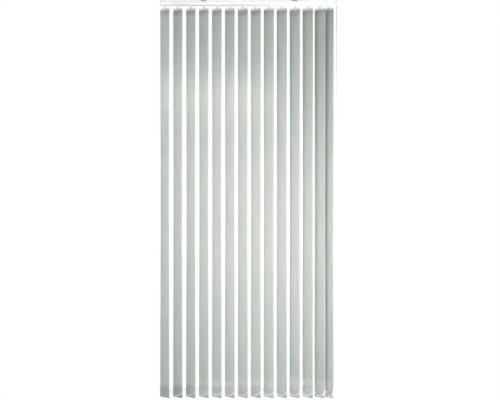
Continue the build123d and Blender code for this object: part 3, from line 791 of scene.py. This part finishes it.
# ---------------------------------------------------------------- tilt chain and draw cord
def hanging_loop(x, y_front, y_rear, top, foot):
    """Route of a hanging loop: down at the front, round at the foot and up at the rear."""
    half = (y_rear - y_front) / 2
    middle = (y_front + y_rear) / 2
    near = 6 * half           # from the end of a straight run to the next point on it
    route = [(y_front, top), (y_front, top - near),
             (y_front, foot + half + near), (y_front, foot + half),
             (y_front + 0.25 * half, foot + 0.3 * half), (middle - 0.3 * half, foot),
             (middle + 0.3 * half, foot), (y_rear - 0.25 * half, foot + 0.3 * half),
             (y_rear, foot + half), (y_rear, foot + half + near),
             (y_rear, top - near), (y_rear, top)]
    return [Vector((x, y, z)) for y, z in route]


class BLIND_OT_tilt_chain(bpy.types.Operator):
    """Hang the bead chain that turns the vanes"""

    bl_idname = "blind.tilt_chain"
    bl_label = "Tilt chain"

    def execute(self, context):
        trim = context.scene.blind_trim
        low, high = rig.box("tilt_chain")
        radius = trim.tilt_bead / 2
        x = (low[0] + high[0]) / 2
        front, rear = low[1] + radius, high[1] - radius
        half = (rear - front) / 2
        axle = high[2] - radius - half
        line = spline_points(hanging_loop(x, front, rear, axle, low[2] + radius), LOOP_DETAIL)
        # over the chain wheel, back to where it started
        middle = (front + rear) / 2
        link = 0.6 * MM
        turns = 12
        for k in range(1, turns):
            turn = math.pi * k / turns
            line.append(Vector((x, middle + half * math.cos(turn), axle + half * math.sin(turn))))
        shape = Shape()
        chain_of_beads(shape, line, trim.tilt_step, radius, link)
        material = bead_plastic(trim)
        piece = new_piece("tilt_chain_beads", shape.points, shape.faces, material)
        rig.ride(piece, "root")
        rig.replaces(piece, "tilt_chain")
        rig.slot(piece, "chain_white")
        finish_node("chain_connector", material)
        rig.cord(piece, exit=line[0], length=line_length(line), diameter=trim.tilt_bead,
                far_end="object", stiffness="limp", lay="hanging", path=line,
                with_pieces=[frame["nodes"]["chain_connector"]])
        return {"FINISHED"}


class BLIND_OT_draw_cord(bpy.types.Operator):
    """Hang the draw cord with its weight, and finish its run inside the rail"""

    bl_idname = "blind.draw_cord"
    bl_label = "Draw cord"

    def execute(self, context):
        trim = context.scene.blind_trim
        low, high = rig.box("draw_cord")
        radius = trim.cord / 2
        x = (low[0] + high[0]) / 2
        route = hanging_loop(x, low[1] + radius, high[1] - radius, high[2], low[2] + radius)
        curve = smooth_curve("draw_cord_braid", route, 16)
        curve.bevel_depth = radius
        curve.bevel_resolution = 4
        curve.use_fill_caps = True
        material = braided_polyester(trim)
        curve.materials.append(material)
        piece = bpy.data.objects.new("draw_cord_braid", curve)
        bpy.context.collection.objects.link(piece)
        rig.ride(piece, "root")
        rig.replaces(piece, "draw_cord")
        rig.slot(piece, "cord_white")
        finish_node("draw_cord_run", material)
        finish_node("cord_weight", abs_moulded())
        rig.cord(piece, exit=route[0], length=line_length(spline_points(route, LOOP_DETAIL)),
                diameter=trim.cord, far_end="object", stiffness="limp", lay="hanging",
                with_pieces=[frame["nodes"]["cord_weight"]])
        return {"FINISHED"}


# ---------------------------------------------------------------- rail and fittings
class BLIND_OT_rail_finish(bpy.types.Operator):
    """Finish the head rail, its ends, brackets and works"""

    bl_idname = "blind.rail_finish"
    bl_label = "Rail finish"

    def execute(self, context):
        coat, white, waxy = powder_coat(), abs_moulded(), acetal_moulded()
        # zinc plate: grey and softly shining, with short rolled streaks
        zinc = drawn_metal("zinc_plated_steel", "C9CCCE", "9EA3A6", 0.34, (1.0, 8.0, 8.0), 2.0)
        # aluminium as it left the mill: paler and brighter, with long drawn lines
        mill = drawn_metal("mill_finish_aluminium", "DADCDD", "BFC3C6", 0.3, (0.05, 1.0, 1.0), 0.6)
        finishes = {"head_rail": coat, "left_end_cap": white, "control_housing": white,
                    "left_bracket": zinc, "right_bracket": zinc, "pulley_pins": zinc,
                    "tilt_rod": mill, "chain_wheel": waxy, "idle_pulley": waxy,
                    "front_control_pulley": waxy, "rear_control_pulley": waxy}
        finishes.update({f"carrier_{number:02d}": waxy for number in VANE_NUMBERS})
        for name, material in finishes.items():
            finish_node(name, material)
        return {"FINISHED"}


class BLIND_OT_fittings_finish(bpy.types.Operator):
    """Finish the stems, hanger plates and bottom weights"""

    bl_idname = "blind.fittings_finish"
    bl_label = "Fittings finish"

    def execute(self, context):
        material = polypropylene_moulded()
        for number in VANE_NUMBERS:
            finish_node(f"vane_fittings_{number:02d}", material)
        return {"FINISHED"}


# ---------------------------------------------------------------- stage
def area_light(name, place, target, size, power, colour, roll=0.0, spread=math.pi):
    """A soft light that faces its target, turned about its own axis by roll."""
    light = bpy.data.lights.new(name, "AREA")
    light.shape = "RECTANGLE"
    light.size, light.size_y = size
    light.energy = power
    light.spread = spread
    light.color = linear(colour)[:3]
    lamp = bpy.data.objects.new(name, light)
    lamp.location = place
    facing = (Vector(target) - Vector(place)).to_track_quat("-Z", "Y")
    lamp.rotation_euler = (facing @ Quaternion((0, 0, 1), roll)).to_euler()
    lamp.visible_camera = False
    bpy.context.collection.objects.link(lamp)


class BLIND_OT_stage(bpy.types.Operator):
    """Set up the floor, backdrop, lights and camera"""

    bl_idname = "blind.stage"
    bl_label = "Stage"

    def execute(self, context):
        stage = context.scene.blind_stage
        scene = context.scene
        scene.view_settings.view_transform = "Standard"

        # plain white floor: it glows evenly and reflects nothing, so it meets the backdrop unseen
        white = linear("FFFFFF")
        clear = 12 * MM           # from the blind's lowest point down to the floor
        reach = 14.0
        floor = CAD_BOX[0][2] - clear
        corners = [(reach * x, reach * y, floor) for x, y in ((-1, -1), (1, -1), (1, 1), (-1, 1))]
        material, _, shader = new_material("studio_floor_white")
        shader.inputs["Base Color"].default_value = linear("000000")
        shader.inputs["Specular IOR Level"].default_value = 0.0
        shader.inputs["Emission Color"].default_value = white
        shader.inputs["Emission Strength"].default_value = stage.backdrop
        ground = new_piece("studio_floor", corners, [(0, 1, 2, 3)], material)
        ground.visible_diffuse = False
        ground.visible_glossy = False
        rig.stage(ground)

        world = bpy.data.worlds.new("studio")
        world.use_nodes = True
        tree = world.node_tree
        tree.nodes.clear()
        surface = node(tree, "ShaderNodeOutputWorld")
        seen = node(tree, "ShaderNodeBackground", inputs={"Color": white, "Strength": stage.backdrop})
        # soft surroundings: a cool ceiling, and a warm wall on the left
        way = node(tree, "ShaderNodeTexCoord")
        facing = node(tree, "ShaderNodeSeparateXYZ", links={"Vector": (way, "Generated")})
        above = node(tree, "ShaderNodeMapRange", inputs={"From Max": 0.9, "To Max": stage.ceiling},
                     links={"Value": (facing, "Z")})
        beside = node(tree, "ShaderNodeMapRange", inputs={"From Max": -1.0, "To Max": stage.wall},
                      links={"Value": (facing, "X")})
        ceiling = node(tree, "ShaderNodeBackground", inputs={"Color": linear("B4FFEA")},
                       links={"Strength": (above, "Result")})
        wall = node(tree, "ShaderNodeBackground", inputs={"Color": linear("FFF2F5")},
                    links={"Strength": (beside, "Result")})
        lit = node(tree, "ShaderNodeAddShader",
                   links={0: (ceiling, "Background"), 1: (wall, "Background")})
        ray = node(tree, "ShaderNodeLightPath")
        both = node(tree, "ShaderNodeMixShader",
                    links={0: (ray, "Is Camera Ray"), 1: (lit, "Shader"), 2: (seen, "Background")})
        tree.links.new(both.outputs["Shader"], surface.inputs["Surface"])
        scene.world = world

        area_light("key_light", place=(-0.3, -1.4, -1.42), target=(0.05, 0.0, -1.42),
                   size=(0.5, 1.9), power=stage.key_power, colour="FFEBF3", roll=math.radians(30))
        area_light("side_light", place=(1.6, -0.9, -1.6), target=(0.3, 0.0, -1.6),
                   size=(0.5, 1.6), power=stage.side_power, colour="FCF3FF")
        area_light("back_light", place=(0.6, 2.5, -1.6), target=(0.2, 0.0, -1.6),
                   size=(1.0, 1.8), power=stage.back_power, colour="FFECF4")
        area_light("rail_light", place=(0.0, -0.15, -0.022), target=(0.0, 0.0, -0.022),
                   size=(1.2, 0.012), power=stage.rail_power, colour="FFF6EE", spread=math.radians(12))
        area_light("upper_light", place=(-0.25, -0.8, -0.62), target=(-0.25, 0.0, -0.62),
                   size=(0.8, 0.2), power=stage.upper_power, colour="FFF4F7", spread=math.radians(30))
        area_light("foot_light", place=(0.3, -0.6, -2.46), target=(0.3, 0.0, -2.46),
                   size=(1.3, 0.05), power=stage.foot_power, colour="FFF8F8", spread=math.radians(16))

        camera = bpy.data.cameras.new("camera")
        film = 36.0
        camera.sensor_width = film
        camera.lens = film * stage.distance / stage.view_width
        camera.shift_y = -0.056
        camera.clip_end = 60.0
        eye = bpy.data.objects.new("camera", camera)
        eye.location = (0.0057, -stage.distance, stage.eye_height)
        eye.rotation_euler = (math.pi / 2, 0.0, 0.0)
        bpy.context.collection.objects.link(eye)
        scene.camera = eye
        return {"FINISHED"}


# ---------------------------------------------------------------- panel and registration
class BLIND_PT_panel(bpy.types.Panel):
    """Lists the steps and settings of the blind."""

    bl_label = "Vertical blind"
    bl_idname = "BLIND_PT_panel"
    bl_space_type = "VIEW_3D"
    bl_region_type = "UI"
    bl_category = "Blind"

    def draw(self, context):
        for group in SETTINGS:
            settings = getattr(context.scene, group)
            box = self.layout.box()
            for name in settings.__annotations__:
                box.prop(settings, name)
        for operator in OPERATORS:
            self.layout.operator(operator.bl_idname)


OPERATORS = (BLIND_OT_stage, BLIND_OT_tilt_chain, BLIND_OT_draw_cord, BLIND_OT_bottom_chains,
             BLIND_OT_vane_cloth, BLIND_OT_rail_finish, BLIND_OT_fittings_finish)
SETTINGS = {"blind_cloth": BlindClothSettings, "blind_trim": BlindTrimSettings,
            "blind_stage": BlindStageSettings}


def register():
    """Register the settings, the operators and the panel."""
    for name, group in SETTINGS.items():
        bpy.utils.register_class(group)
        setattr(bpy.types.Scene, name, PointerProperty(type=group))
    for made in (*OPERATORS, BLIND_PT_panel):
        bpy.utils.register_class(made)


def unregister():
    """Take away what register added."""
    for made in reversed((*OPERATORS, BLIND_PT_panel)):
        bpy.utils.unregister_class(made)
    for name, group in SETTINGS.items():
        delattr(bpy.types.Scene, name)
        bpy.utils.unregister_class(group)


def main():
    """Build everything in order, and write the two boxes."""
    register()
    for operator in OPERATORS:
        group, name = operator.bl_idname.split(".")
        getattr(getattr(bpy.ops, group), name)()
    boxes = {"cad": [list(corner) for corner in CAD_BOX], "visual": [list(corner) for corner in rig.bounds()]}
    with open("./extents.json", "w") as file:
        json.dump(boxes, file)


if __name__ == "__main__":
    main()
